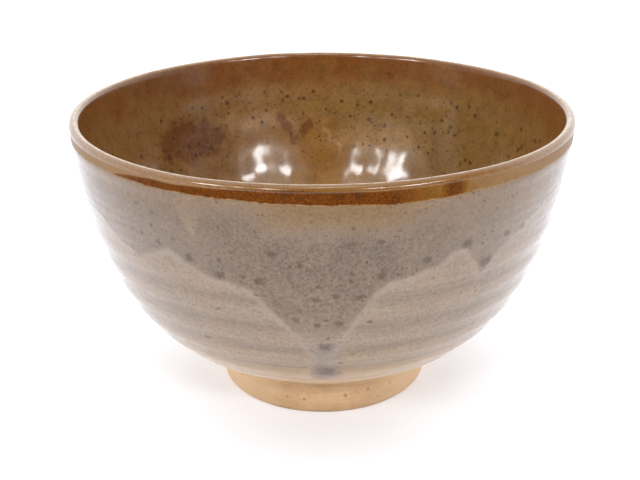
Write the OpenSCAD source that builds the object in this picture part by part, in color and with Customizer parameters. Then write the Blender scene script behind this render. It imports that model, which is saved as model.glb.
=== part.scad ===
// Hand-thrown matcha bowl: a clay body on a turned foot, with a lining glaze, an iron-brown rim
// and a milky outer glaze under a second, poured coat that has run down the wall in tongues.
// Millimetres, +Z up. The origin is the centre of the face that the foot rests on.
// Angles round the bowl are counted from the front (-Y) towards +X.

/* [Bowl] */
// Outer diameter at the rim
rim_d = 120; // [112:1:128]
// Height from the resting face to the top of the lip
bowl_h = 70.6; // [67:0.2:75]
// Thickness of the finished lip
lip_t = 2.4; // [2:0.1:3]
// Outward lean of the outer wall at the rim, in degrees
lean = 6; // [3:0.5:9]
// How far out the lower wall swells, as a share of the rim radius
belly_out = 0.79; // [0.76:0.01:0.82]
// Height of that swell, as a share of the bowl's height
belly_up = 0.235; // [0.22:0.005:0.25]

/* [Inside] */
// Height of the floor inside, where it meets the tea well
floor_z = 14.4; // [13.6:0.2:15.6]
// Diameter of the tea well in the floor
well_d = 42; // [36:1:46]
// Depth of the tea well
well_dip = 1.5; // [0.5:0.1:2]

/* [Foot] */
// Diameter of the foot where it rests
foot_d = 52.4; // [48:0.2:56]
// Height of the foot up to the glaze line
foot_h = 9; // [8:0.2:10]
// Width of the ring that the bowl rests on
foot_ring_w = 6.4; // [5:0.2:8]
// Depth of the hollow inside the foot ring
recess_h = 6.2; // [5:0.2:7]
// Rounding of the foot ring's edges
foot_bevel = 0.8; // [0.4:0.1:1.2]

/* [Glaze] */
// Thickness of each glaze coat
glaze_t = 0.5; // [0.3:0.05:0.7]
// Thickness of the poured second coat
pour_t = 0.3; // [0.2:0.05:0.5]
// Height of the iron-brown band below the lip
iron_h = 2.6; // [1.5:0.1:4]
// Swelling of the outer glaze at its lower edge
roll_t = 0.3; // [0.1:0.05:0.5]
// Top of the poured coat below the rim
pour_gap = 8.5; // [6:0.5:10]
// Height of the poured coat's lower edge between its tongues
pour_z = 54.5; // [52:0.5:57]

/* [Hidden] */
$fn = 180;

CLAY = "#d9a878";
LINING = "#8a6238";
IRON = "#8b4f1a";
MILKY = "#b5a594";
MAUVE = "#8d8179";
DARK_DROP = "#6f655f";

WALL_STEPS = 24;
LIP_STEPS = 8;
POUR_TURNS = 120;
POUR_ROWS = 6;
DROP_TURNS = 24;
DROP_ROWS = 5;

rim_r = rim_d / 2;
lip_r = lip_t / 2;
foot_r = foot_d / 2;
foot_top_r = foot_r - 0.5;
lip_c = [rim_r - lip_r, bowl_h - lip_r];
inner_lean = lean + 2;

// The outer wall is one cubic curve from the foot to the lip, and so is the inner one, from the
// well to the lip. Each meets the round of the lip on its tangent.
outer_end = lip_c + lip_r * [cos(lean), -sin(lean)];
inner_end = lip_c + lip_r * [-cos(inner_lean), sin(inner_lean)];
OUTER = [
    [foot_top_r, foot_h],
    [belly_out * rim_r, belly_up * bowl_h],
    outer_end - 0.5 * bowl_h * [sin(lean), cos(lean)],
    outer_end
];
INNER = [
    [well_d / 2, floor_z],
    [0.69 * rim_r, floor_z + 3.6],
    inner_end - 0.48 * bowl_h * [sin(inner_lean), cos(inner_lean)],
    inner_end
];

// Tongues of the poured coat: angle, half width in degrees, drop below pour_z.
TONGUES = [
    [-45, 12, 5.5], [-10, 22, 6], [8, 20, 4], [-1, 13, 21], [36, 5, 7],
    [78, 16, 7], [104, 11, 13], [142, 18, 6], [171, 12, 17], [204, 15, 7],
    [238, 12, 12], [268, 14, 6], [292, 10, 4]
];
// The drop that hangs below the longest tongue: angle, height, half width, half height, thickness
drop_a = 0.5;
drop_z = 22.6;
drop_half_w = 3.6;
drop_half_h = 3.4;
drop_t = 0.8;

function bezier(p, t) =
    p[0] * (1 - t) ^ 3 + 3 * p[1] * t * (1 - t) ^ 2 + 3 * p[2] * t ^ 2 * (1 - t) + p[3] * t ^ 3;

function slope(p, t) =
    (p[1] - p[0]) * (1 - t) ^ 2 + 2 * (p[2] - p[1]) * t * (1 - t) + (p[3] - p[2]) * t ^ 2;

// Unit normal of a wall curve, pointing away from the bowl's axis
function away(p, t) =
    let (d = slope(p, t)) [d[1], -d[0]] / norm(d);

// Point at t on a wall curve, moved away from the axis by lift
function wall_point(p, t, lift = 0) = bezier(p, t) + lift * away(p, t);

// Points of a wall curve from t0 to t1, moved away from the axis by lift
function wall_line(p, t0, t1, lift = 0) = [
    for (i = [0:WALL_STEPS]) wall_point(p, t0 + (t1 - t0) * i / WALL_STEPS, lift)
];

// Points round the lip from angle a0 to a1, at radius r from its centre
function lip_line(a0, a1, r) = [
    for (i = [0:LIP_STEPS])
        let (a = a0 + (a1 - a0) * i / LIP_STEPS) lip_c + r * [cos(a), sin(a)]
];

// The tea well from its edge to the axis, moved down by depth
function well_line(depth = 0) = [
    [well_d / 2 - 2, floor_z - 0.45 * well_dip - depth],
    [well_d / 2 - 4.5, floor_z - 0.85 * well_dip - depth],
    [0, floor_z - well_dip - depth]
];

// Where on a wall curve the height z is, found by halving
function t_at(p, z, lo = 0, hi = 1, steps = 24) =
    let (mid = (lo + hi) / 2)
    steps == 0 ? mid :
    bezier(p, mid)[1] < z ? t_at(p, z, mid, hi, steps - 1) : t_at(p, z, lo, mid, steps - 1);

function backwards(line) = [for (i = [len(line) - 1:-1:0]) line[i]];

// Difference of two angles, from -180 to 180
function turn(a, b) = (a - b + 540) % 360 - 180;

// Depth of one tongue at an angle: a V with a soft tip
function tongue(a, k) =
    let (x = abs(turn(a, k[0])) / k[1])
    x >= 1 ? 0 : k[2] * (1 - sqrt(x * x + 0.006)) / (1 - sqrt(0.006));

// Height of the poured coat's lower edge at an angle
function pour_edge(a) = pour_z - max(concat([for (k = TONGUES) tongue(a, k)], [0]));

// A point on the outside of the bowl at angle a, where the wall curve is at t, raised by lift
function on_wall(a, t, lift) =
    let (q = wall_point(OUTER, t, lift)) [q[0] * sin(a), -q[0] * cos(a), q[1]];

// Thrown wall and floor, under every glaze
module clay_body() {
    color(CLAY)
    rotate_extrude()
    polygon(concat(
        [[0, foot_h]],
        wall_line(OUTER, 0, 1, -glaze_t),
        lip_line(-lean, 180 - inner_lean, lip_r - glaze_t),
        backwards(wall_line(INNER, 0, 1, glaze_t)),
        well_line(glaze_t)
    ));
}

// Turned foot of bare clay: a web under the floor, and the ring that the bowl stands on
module foot_ring() {
    ring_in = foot_r - foot_ring_w;
    color(CLAY)
    rotate_extrude()
    polygon([
        [0, recess_h + 0.5],
        [ring_in - 2.6, recess_h],
        [ring_in - 0.9, recess_h - 1],
        [ring_in, foot_bevel],
        [ring_in + foot_bevel, 0],
        [foot_r - foot_bevel, 0],
        [foot_r, foot_bevel],
        [foot_top_r, foot_h],
        [0, foot_h]
    ]);
}

// Brown lining, which runs over the lip and ends where the lip meets the outer wall
module inner_glaze() {
    color(LINING)
    rotate_extrude()
    polygon(concat(
        lip_line(-lean, 180 - inner_lean, lip_r),
        backwards(wall_line(INNER, 0, 1, 0)),
        well_line(0),
        backwards(well_line(glaze_t)),
        wall_line(INNER, 0, 1, glaze_t),
        backwards(lip_line(-lean, 180 - inner_lean, lip_r - glaze_t))
    ));
}

// A coat on the outer wall between two heights, from the clay to the finished face
module coat(z_low, z_high) {
    low = t_at(OUTER, z_low);
    high = t_at(OUTER, z_high);
    rotate_extrude()
    polygon(concat(
        wall_line(OUTER, low, high, 0),
        backwards(wall_line(OUTER, low, high, -glaze_t))
    ));
}

// Iron-brown band below the lip
module rim_glaze() {
    color(IRON)
    coat(outer_end[1] - iron_h, outer_end[1]);
}

// Milky glaze from the iron band down to the foot, swollen at its lower edge
module outer_glaze() {
    edge_t = 0.004;
    color(MILKY)
    union() {
        coat(wall_point(OUTER, edge_t)[1], outer_end[1] - iron_h);
        rotate_extrude()
        polygon([
            wall_point(OUTER, edge_t, -glaze_t / 2),
            wall_point(OUTER, edge_t, roll_t / 2),
            wall_point(OUTER, 0.012, roll_t),
            wall_point(OUTER, 0.022, roll_t),
            wall_point(OUTER, 0.045, -glaze_t / 2)
        ]);
    }
}

// Second, poured coat: a thin skin on the outer glaze, with tongues along its lower edge
module poured_glaze() {
    top_t = t_at(OUTER, bowl_h - pour_gap);
    rows = POUR_ROWS + 1;
    turns = POUR_TURNS;
    angles = [for (i = [0:turns - 1]) 360 * i / turns];
    low_t = [for (a = angles) t_at(OUTER, pour_edge(a))];
    face = [
        for (i = [0:turns - 1]) for (j = [0:POUR_ROWS])
            let (rim = j == 0 || j == POUR_ROWS)
            on_wall(angles[i], top_t + (low_t[i] - top_t) * j / POUR_ROWS, rim ? pour_t / 3 : pour_t)
    ];
    back = [
        for (i = [0:turns - 1]) for (j = [0:POUR_ROWS])
            on_wall(angles[i], top_t + (low_t[i] - top_t) * j / POUR_ROWS, 0)
    ];
    n = len(face);
    faces = [
        for (i = [0:turns - 1])
            let (a = i * rows, b = ((i + 1) % turns) * rows)
            each concat(
                [for (j = [0:POUR_ROWS - 1]) [a + j, b + j, b + j + 1, a + j + 1]],
                [for (j = [0:POUR_ROWS - 1]) [n + a + j, n + a + j + 1, n + b + j + 1, n + b + j]],
                [[a, n + a, n + b, b]],
                [[a + POUR_ROWS, b + POUR_ROWS, n + b + POUR_ROWS, n + a + POUR_ROWS]]
            )
    ];
    color(MAUVE)
    polyhedron(points = concat(face, back), faces = faces, convexity = 10);
}

// Thick drop where the longest tongue ran out: a dome on the wall with a squarish round outline
module glaze_drop() {
    reach = bezier(OUTER, t_at(OUTER, drop_z))[0];
    ring = [
        for (j = [1:DROP_ROWS]) for (i = [0:DROP_TURNS - 1])
            let (
                rho = j / DROP_ROWS,
                c = cos(360 * i / DROP_TURNS),
                s = sin(360 * i / DROP_TURNS),
                square = rho / (c ^ 4 + s ^ 4) ^ 0.25,
                a = drop_a + atan(drop_half_w * c * square / reach),
                t = t_at(OUTER, drop_z + drop_half_h * s * square)
            )
            [a, t, drop_t * (1 - rho ^ 2) ^ 0.6]
    ];
    middle = [drop_a, t_at(OUTER, drop_z), drop_t];
    edge = [for (i = [0:DROP_TURNS - 1]) ring[(DROP_ROWS - 1) * DROP_TURNS + i]];
    face = [for (q = concat([middle], ring)) on_wall(q[0], q[1], q[2] + 0.05)];
    back = [for (q = concat([middle], edge)) on_wall(q[0], q[1], 0)];
    n = len(face);
    m = DROP_TURNS;
    last = 1 + (DROP_ROWS - 1) * m;
    faces = [
        for (i = [0:m - 1])
            let (k = (i + 1) % m)
            each concat(
                [[0, 1 + k, 1 + i]],
                [
                    for (j = [0:DROP_ROWS - 2])
                        [1 + j * m + i, 1 + j * m + k, 1 + (j + 1) * m + k, 1 + (j + 1) * m + i]
                ],
                [[last + i, last + k, n + 1 + k, n + 1 + i]],
                [[n, n + 1 + i, n + 1 + k]]
            )
    ];
    color(DARK_DROP)
    polyhedron(points = concat(face, back), faces = faces, convexity = 4);
}

clay_body();
foot_ring();
inner_glaze();
rim_glaze();
outer_glaze();
poured_glaze();
glaze_drop();
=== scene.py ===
import math

import bmesh
import bpy
import numpy as np
from mathutils import Matrix, Vector
from mathutils.kdtree import KDTree


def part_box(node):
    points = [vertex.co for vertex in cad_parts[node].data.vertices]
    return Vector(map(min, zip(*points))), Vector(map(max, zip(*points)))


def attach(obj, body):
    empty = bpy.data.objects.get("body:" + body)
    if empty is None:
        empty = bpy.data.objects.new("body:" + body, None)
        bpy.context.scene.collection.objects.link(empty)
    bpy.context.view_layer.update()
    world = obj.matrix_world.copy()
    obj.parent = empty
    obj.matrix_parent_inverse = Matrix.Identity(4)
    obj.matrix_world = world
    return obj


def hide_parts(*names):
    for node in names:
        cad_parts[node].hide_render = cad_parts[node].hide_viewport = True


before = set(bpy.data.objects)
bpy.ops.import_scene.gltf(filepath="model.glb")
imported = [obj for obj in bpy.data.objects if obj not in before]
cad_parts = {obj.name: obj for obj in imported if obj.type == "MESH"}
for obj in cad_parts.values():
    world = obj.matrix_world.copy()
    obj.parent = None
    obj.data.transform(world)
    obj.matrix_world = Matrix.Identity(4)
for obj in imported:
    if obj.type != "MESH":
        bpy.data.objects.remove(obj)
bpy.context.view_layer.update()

# A hand-thrown matcha bowl. Lengths of the bowl are millimetres until a mesh is made.
# Angles are degrees round the bowl from its front (-Y) towards +X. A place on the outer wall is an
# angle and a depth, the distance down along the wall from the lip. A place on the lining is an
# angle and a run, the distance from the lip's outer edge over the lip and down inside.

MM = 0.001
TURN = 2 * math.pi


# ---- sizes, read from the frame

def top_of(node):
    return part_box(node)[1] / MM


def bottom_of(node):
    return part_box(node)[0] / MM


RIM_R = top_of("inner_glaze").x
BOWL_H = top_of("inner_glaze").z
FOOT_R = top_of("foot_ring").x
FOOT_H = top_of("foot_ring").z
BAND_LOW_Z = bottom_of("rim_glaze").z
DROP_TOP_Z = top_of("glaze_drop").z
DROP_LOW_Z = bottom_of("glaze_drop").z

# The rest of the wall's shape, as in the CAD source.
LIP_R = 1.2
LEAN = 6.0
INNER_LEAN = 8.0
BELLY_OUT = 0.79
BELLY_UP = 0.235
GLAZE_T = 0.5
FLOOR_Z = 14.4
WELL_R = 21.0
WELL_DIP = 1.5
WELL_SLOPE = 6
WELL_HOLLOW = 0.25
RECESS_H = 6.2
RING_W = 6.4


# ---- wall curves

def bezier(p, t):
    t = t[:, None]
    ends = p[0] * (1 - t) ** 3 + p[3] * t ** 3
    return ends + 3 * p[1] * t * (1 - t) ** 2 + 3 * p[2] * t ** 2 * (1 - t)


def lengths(line):
    """Distance along a line of points from its first point."""
    return np.concatenate([[0], np.cumsum(np.hypot(*np.diff(line, axis=0).T))])


def evenly(line, step=0.1):
    """The same line with points a fixed distance apart."""
    along = lengths(line)
    at = np.linspace(0, along[-1], max(2, int(along[-1] / step) + 1))
    return np.stack([np.interp(at, along, line[:, k]) for k in range(2)], axis=1)


def turned(degrees):
    a = math.radians(degrees)
    return np.array([math.cos(a), math.sin(a)])


def down_lean(degrees):
    """The way down a wall that leans outwards by this angle, from its top."""
    a = math.radians(degrees)
    return -np.array([math.sin(a), math.cos(a)])


LIP_C = np.array([RIM_R - LIP_R, BOWL_H - LIP_R])
OUTER_END = LIP_C + LIP_R * turned(-LEAN)
INNER_END = LIP_C + LIP_R * turned(180 - INNER_LEAN)
OUTER_CURVE = np.array([
    [FOOT_R - 0.5, FOOT_H],
    [BELLY_OUT * RIM_R, BELLY_UP * BOWL_H],
    OUTER_END + 0.5 * BOWL_H * down_lean(LEAN),
    OUTER_END,
])
INNER_CURVE = np.array([
    INNER_END,
    INNER_END + 0.48 * BOWL_H * down_lean(INNER_LEAN),
    [0.69 * RIM_R, FLOOR_Z + 3.6],
    [WELL_R, FLOOR_Z],
])


class Outline:
    """A line of (radius, height) points, looked up by the distance along it, with its normals."""

    def __init__(self, line, flip=1):
        self.line = evenly(line)
        self.along = lengths(self.line)
        slope = np.gradient(self.line, axis=0)
        slope /= np.hypot(*slope.T)[:, None]
        self.normal = flip * np.stack([-slope[:, 1], slope[:, 0]], axis=1)
        self.length = self.along[-1]

    def at(self, distance):
        point = [np.interp(distance, self.along, self.line[:, k]) for k in range(2)]
        normal = [np.interp(distance, self.along, self.normal[:, k]) for k in range(2)]
        return point, normal


def wall_outline():
    """Outer wall from the lip's outer edge down to the foot."""
    return Outline(bezier(OUTER_CURVE, np.linspace(1, 0, 400)), flip=1)


def lining_outline():
    """From the lip's outer edge over the lip, down the inner wall and across the well to the axis."""
    angles = np.linspace(-LEAN, 180 - INNER_LEAN, 40)
    lip = np.array([LIP_C + LIP_R * turned(a) for a in angles])
    wall = bezier(INNER_CURVE, np.linspace(0, 1, 400))
    u = np.linspace(0, 1, 30)
    sink = WELL_DIP * (3 * u ** 2 - 2 * u ** 3)
    well = np.stack([WELL_R - WELL_SLOPE * u, FLOOR_Z - sink], axis=1)
    u = np.linspace(0, 1, 60)
    hollow = WELL_HOLLOW * (1 - (1 - u) ** 2)
    bottom = np.stack([(WELL_R - WELL_SLOPE) * (1 - u), FLOOR_Z - WELL_DIP - hollow], axis=1)
    return Outline(np.vstack([lip, wall[1:], well[1:], bottom[1:]]), flip=-1)


WALL = wall_outline()
LINING = lining_outline()
LIP_RUN = LIP_R * math.radians(180 - INNER_LEAN + LEAN)


def depth_at(z):
    """Depth of a height on the outer wall."""
    return float(np.interp(-z, -WALL.line[:, 1], WALL.along))


BAND_LOW = depth_at(BAND_LOW_Z)


# ---- what a hand leaves in the clay

def wrapped(angle):
    """The same angle, between -180 and 180 degrees."""
    return (np.asarray(angle) + 180) % 360 - 180


def waves(angle, terms):
    """A sum of waves round the bowl: (number of waves, height, phase in degrees)."""
    return sum(h * np.sin(np.radians(n * angle + phase)) for n, h, phase in terms)


OUT_OF_ROUND = ((2, 0.16, 35), (3, 0.09, 120), (5, 0.05, 230), (11, 0.02, 60))
RIM_RISE = ((1, 0.10, 200), (2, 0.08, 20), (4, 0.06, 75), (9, 0.03, 150), (17, 0.015, 10))


def smooth(x, low, high):
    u = np.clip((x - low) / (high - low), 0, 1)
    return u * u * (3 - 2 * u)


def to_space(angle, r, z):
    """Points in space, with the bowl's own slight irregularity in radius and height."""
    share = np.clip(z / BOWL_H, 0, 1)
    r = r * (1 + waves(angle, OUT_OF_ROUND) / RIM_R * share)
    z = z + waves(angle, RIM_RISE) * share ** 4
    a = np.radians(angle)
    return np.stack([r * np.sin(a), -r * np.cos(a), z], axis=-1)


# Throwing rings: the potter's fingers leave one every RING_PITCH along the wall.
RING_PITCH = 7.2
RING_HEIGHT = 0.09
FINE_PITCH = 2.3
FINE_HEIGHT = 0.018


def rings(angle, depth):
    """Height of the throwing rings on the outer wall, -1 to 1 for the main ones."""
    drift = waves(angle, ((1, 0.9, 40), (2, 0.5, 110), (3, 0.3, 250)))
    return np.cos(TURN * (depth + drift - 1.0) / RING_PITCH)


def ring_relief(angle, depth):
    strength = smooth(depth, 10, 27) * (1 - 0.7 * smooth(depth, 58, 70))
    uneven = 1 + waves(angle, ((2, 0.25, 300), (5, 0.2, 80)))
    drift = waves(angle, ((1, 0.8, 10), (3, 0.4, 95)))
    fine = FINE_HEIGHT * np.cos(TURN * (depth + drift) / FINE_PITCH)
    return RING_HEIGHT * strength * uneven * rings(angle, depth) + fine * smooth(depth, 4, 12)


def wall_point(angle, depth, lift):
    """A point on the outer wall, raised from the finished surface by lift."""
    (r, z), (nr, nz) = WALL.at(depth)
    up = ring_relief(angle, depth) + lift
    return to_space(angle, r + nr * up, z + nz * up)


# Ripples that cross the lining: (waves round, waves down per mm, height, phase).
RIPPLES = (
    (41, 0.021, 0.010, 10), (-37, 0.034, 0.010, 80), (57, -0.055, 0.007, 200), (-63, 0.081, 0.005, 300),
    (23, 0.105, 0.011, 130), (-19, 0.132, 0.008, 250), (83, 0.017, 0.003, 20), (-71, -0.12, 0.003, 160),
)


def dimples(angle, run):
    """Soft dents and finger ridges on the lining, none of them at the lip."""
    inside = smooth(run, LIP_RUN + 1, LIP_RUN + 12)
    up = 0.03 * np.cos(TURN * (run + waves(angle, ((1, 1.2, 0), (2, 0.8, 60), (3, 0.5, 200)))) / 8.3)
    for round_waves, down_waves, height, phase in RIPPLES:
        up = up + height * np.sin(np.radians(round_waves * angle + 360 * down_waves * run + phase))
    middle = 1 - smooth(run, LINING.length - 24, LINING.length - 6)
    return inside * middle * up


def lining_point(angle, run, lift):
    (r, z), (nr, nz) = LINING.at(run)
    up = dimples(angle, run) + lift
    return to_space(angle, np.maximum(r + nr * up, 0), z + nz * up)


# ---- meshes

def round_lookup(angle, corners):
    """Values between (angle, value) corners that go all round the bowl."""
    at = [corner[0] for corner in corners] + [corners[0][0] + 360.0]
    values = [corner[1] for corner in corners] + [corners[0][1]]
    return np.interp(wrapped(angle), at, values)


def angles_for(count):
    return np.arange(count) * 360.0 / count - 180.0


def skin_mesh(name, rows, poles):
    """A closed mesh from rows of points that each go round the bowl.

    Without poles the last row joins the first, as on a tube bent into a ring. With poles the first
    and last rows are single points on the axis, given as rows whose points all coincide.
    """
    count = len(rows[0])
    ring = np.arange(count)
    after = np.roll(ring, -1)
    if poles:
        rows = [rows[0].mean(axis=0)[None, :], *rows[1:-1], rows[-1].mean(axis=0)[None, :]]
    starts = np.cumsum([0] + [len(row) for row in rows[:-1]]).tolist()
    last = len(rows) - 2
    faces = []
    for index, (a, b) in enumerate(zip(starts, starts[1:] if poles else starts[1:] + starts[:1])):
        if poles and index == 0:
            corners = [np.full(count, a), b + after, b + ring]
        elif poles and index == last:
            corners = [a + ring, a + after, np.full(count, b)]
        else:
            corners = [a + ring, a + after, b + after, b + ring]
        faces.extend(np.stack(corners, axis=1).tolist())
    mesh = bpy.data.meshes.new(name)
    mesh.from_pydata((np.concatenate(rows) * MM).tolist(), [], faces)
    mesh.validate()
    mesh.update()
    outward(mesh)
    return mesh


def outward(mesh):
    """Turns the faces so that they point out of the closed mesh."""
    bm = bmesh.new()
    bm.from_mesh(mesh)
    bmesh.ops.recalc_face_normals(bm, faces=bm.faces)
    if bm.calc_volume(signed=True) < 0:
        bmesh.ops.reverse_faces(bm, faces=bm.faces)
    bm.to_mesh(mesh)
    bm.free()


def make_piece(name, node, material, rows, marks=None, poles=False):
    """Makes the piece that stands for a CAD node, from rows of points and of marks."""
    mesh = skin_mesh(node, rows, poles)
    for key, values in (marks or {}).items():
        if poles:
            values = np.concatenate([values[0, :1], values[1:-1].ravel(), values[-1, :1]])
        layer = mesh.attributes.new(key, "FLOAT", "POINT")
        layer.data.foreach_set("value", values.ravel().astype(np.float32))
    mesh.polygons.foreach_set("use_smooth", np.ones(len(mesh.polygons), dtype=bool))
    mesh.set_sharp_from_angle(angle=math.radians(50))
    mesh.materials.append(material)
    piece = bpy.data.objects.new(name, mesh)
    bpy.context.scene.collection.objects.link(piece)
    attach(piece, "root")
    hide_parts(node)


def spot_mark(angle, down, radius, spots, stretch=1.0):
    """1 in the middle of a round spot, 0 at its edge, below 0 outside; a spot has a place and a size."""
    best = np.full(np.shape(angle), -4.0)
    for at_angle, at_down, size in spots:
        across = np.radians(wrapped(angle - at_angle)) * radius
        best = np.maximum(best, 1 - np.hypot(across, (down - at_down) * stretch) / size)
    return best


# ---- the poured coat's outline

# Lower edge of the poured coat, as (angle, depth) corners all round the bowl.
POUR_EDGE = (
    (-180, 30), (-172, 36), (-165, 27), (-150, 22), (-141, 25), (-128, 20), (-117, 27), (-108, 31),
    (-100, 23), (-86, 18), (-76, 20), (-68, 16), (-58, 15.5), (-50, 19), (-44, 21.5), (-38, 18.3),
    (-33, 16.6), (-28, 19), (-22, 21.5), (-15.5, 22.6), (-12, 27), (-9, 31.5), (-5.5, 36), (-2.5, 41),
    (0, 44), (2.5, 39), (4.5, 34), (8, 28), (10, 23.5), (13, 21.6), (19, 20.3), (24, 18.5),
    (27, 16.3), (30, 16), (32.5, 19), (35.5, 24), (38.5, 21), (43, 18.2), (47, 15.8), (55, 13),
    (64, 14), (72, 18), (80, 22), (88, 17), (97, 22), (104, 29), (110, 24), (121, 17), (133, 20),
    (143, 24), (153, 20), (162, 23), (170, 27),
)
# Depth where the coat's darker part begins, and how much lower that is in the warm parts.
POUR_TOP = 5.2
WARM_DROP = 2.9
# The pale notches in its upper edge: (angle, half width, depth).
NOTCHES = ((-26.3, 3.9, 8.5), (64, 4.0, 5.5), (152, 4.5, 7.0), (-122, 3.8, 6.0))
EDGE_STEPS = 1440


def pour_edge_depth(angle):
    """Depth of the poured coat's lower edge, with small ripples between its corners."""
    ripple = waves(wrapped(angle), ((13, 0.25, 30), (29, 0.22, 140), (53, 0.16, 260), (97, 0.10, 20)))
    return round_lookup(angle, POUR_EDGE) + ripple


# Where the glaze under the band is ochre rather than pinkish: (angle, half width).
WARM_PARTS = ((3, 22), (88, 26), (168, 24), (-112, 28))


def warm_mark(angle):
    best = np.zeros(np.shape(angle))
    for middle, half in WARM_PARTS:
        gap = np.abs(wrapped(angle - middle))
        best = np.maximum(best, 1 - smooth(gap, 0.3 * half, half))
    return best


def pour_top_depth(angle):
    """Depth of the poured coat's upper edge."""
    uneven = waves(wrapped(angle), ((3, 0.6, 10), (7, 0.4, 100), (19, 0.25, 210)))
    return POUR_TOP + WARM_DROP * warm_mark(wrapped(angle)) + uneven


def notch_mark(angle, depth):
    """1 inside a notch, which narrows downwards to a point."""
    best = np.zeros(np.shape(angle))
    for middle, half, dip in NOTCHES:
        across = np.abs(wrapped(angle - middle)) / half
        best = np.maximum(best, smooth(1 - across - (depth - 4.0) / dip, -0.06, 0.22))
    return best


def softened(values, width):
    """A ring of values with its corners rounded by a running mean."""
    kernel = np.hanning(width + 2)[1:-1]
    kernel /= kernel.sum()
    wide = np.concatenate([values[-width:], values, values[:width]])
    return np.convolve(wide, kernel, mode="same")[width:-width]


EDGE_ANGLES = angles_for(EDGE_STEPS)
EDGE_DEPTHS = softened(pour_edge_depth(EDGE_ANGLES), 9)
TOP_DEPTHS = softened(pour_top_depth(EDGE_ANGLES), 13)


def ring_lookup(angle, values):
    return np.interp(wrapped(angle), np.append(EDGE_ANGLES, 180.0), np.append(values, values[0]))


def flat_place(angle, depth):
    """Places on the wall laid out flat and closed round: close enough for distances of a few mm."""
    (r, z), _ = WALL.at(depth)
    a = np.radians(angle)
    return np.stack([r * np.sin(a), -r * np.cos(a), z], axis=-1)


def distance_to(angle, depth, line_depths):
    """Distance from places on the wall to an edge line, positive above the line."""
    tree = KDTree(EDGE_STEPS)
    for index, spot in enumerate(flat_place(EDGE_ANGLES, line_depths)):
        tree.insert(spot, index)
    tree.balance()
    places = flat_place(angle, depth).reshape(-1, 3)
    gap = np.array([tree.find(p)[2] for p in places]).reshape(np.shape(angle))
    above = depth < ring_lookup(angle, line_depths)
    return np.where(above, gap, -gap)


# How densely the second coat covers, round the bowl.
POUR_DENSE = (
    (-180, 0.9), (-140, 0.8), (-100, 0.95), (-72, 0.66), (-45, 0.66), (-25, 0.74), (-8, 1.0), (10, 1.0),
    (25, 0.70), (40, 0.42), (60, 0.22), (85, 0.80), (115, 1.0), (150, 0.8),
)


# Larger dark blotches in the glaze: (angle, depth, radius).
BLOTCHES = (
    (30, 14.5, 1.1), (41, 15, 0.9), (46.5, 15, 0.8), (21, 16.5, 0.9), (36, 20.5, 1.4), (11.5, 19, 0.9),
    (-10, 13.5, 0.8), (-4.5, 16, 0.6), (-28, 16.8, 1.0), (-21.5, 19.8, 0.9), (-13, 20, 0.9),
    (-16.5, 19.5, 0.5), (2.5, 23.5, 0.7), (-6, 30, 0.9), (3.2, 31, 0.9), (-1.6, 31.4, 0.7),
    (0.2, 38.4, 1.5), (10, 31.2, 0.6), (-30, 39.8, 0.6), (4, 44.8, 0.5), (7.5, 24, 0.8),
    (-1.6, 24.4, 0.8), (-23.5, 29.2, 0.45), (-35.5, 14.8, 0.7), (5.5, 11, 0.6), (11, 11, 0.6),
    (-40, 6.8, 0.5), (-35.7, 8, 0.45), (0.5, 30, 0.5), (58, 17, 1.0), (69, 12.5, 0.9), (83, 16, 1.2),
    (100, 18, 0.8), (105, 24, 1.0), (118, 11, 0.7), (131, 15, 1.0), (146, 19, 0.9), (160, 14, 0.8),
    (174, 22, 1.1), (-175, 29, 0.9), (-168, 16, 0.7), (-155, 18, 1.0), (-139, 20, 0.8),
    (-124, 12, 0.9), (-110, 26, 1.1), (-104, 16, 0.8), (-90, 14, 0.9), (-79, 17, 1.0), (-66, 12, 0.7),
)
# How much larger a blotch is drawn, since its ragged edge eats into it.
BLOTCH_GROWTH = 1.5


def blotch_mark(angle, depth):
    """1 in the middle of a blotch, 0 at its edge, below 0 outside."""
    grown = [(a, d, BLOTCH_GROWTH * size) for a, d, size in BLOTCHES]
    return spot_mark(angle, depth, WALL.at(depth)[0][0], grown, 1.15)


# The run of pale grey glaze that links the longest tongue to the drop below it.
RUN_ANGLE = 0.3
RUN_HALF = 6.2


def run_mark(angle, depth):
    drop_top = depth_at(DROP_TOP_Z)
    across = np.clip(1 - np.abs(angle - RUN_ANGLE) / RUN_HALF, 0, 1)
    along = smooth(depth, 33, 39.5) * (1 - smooth(depth, drop_top + 1, drop_top + 6))
    return 0.8 * smooth(across, 0, 1.0) * along


def wall_marks(angle, depth):
    """What the outer glazes' materials need to know at each vertex."""
    return {
        "pour": distance_to(angle, depth, EDGE_DEPTHS),
        "pour_top": distance_to(angle, depth, TOP_DEPTHS),
        "depth": depth,
        "ring": rings(angle, depth) * smooth(depth, 12, 27),
        "blotch": blotch_mark(angle, depth),
        "run": run_mark(angle, depth),
        "warm": warm_mark(angle),
        "notch": notch_mark(angle, depth),
        "dense": round_lookup(angle, POUR_DENSE),
    }


# ---- shader helper

# How much of the clear, glassy top layer shows, and how strongly it and the lining's bend light.
GLASS = 1.0
GLASS_IOR = 1.22
LINING_IOR = 1.38


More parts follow.
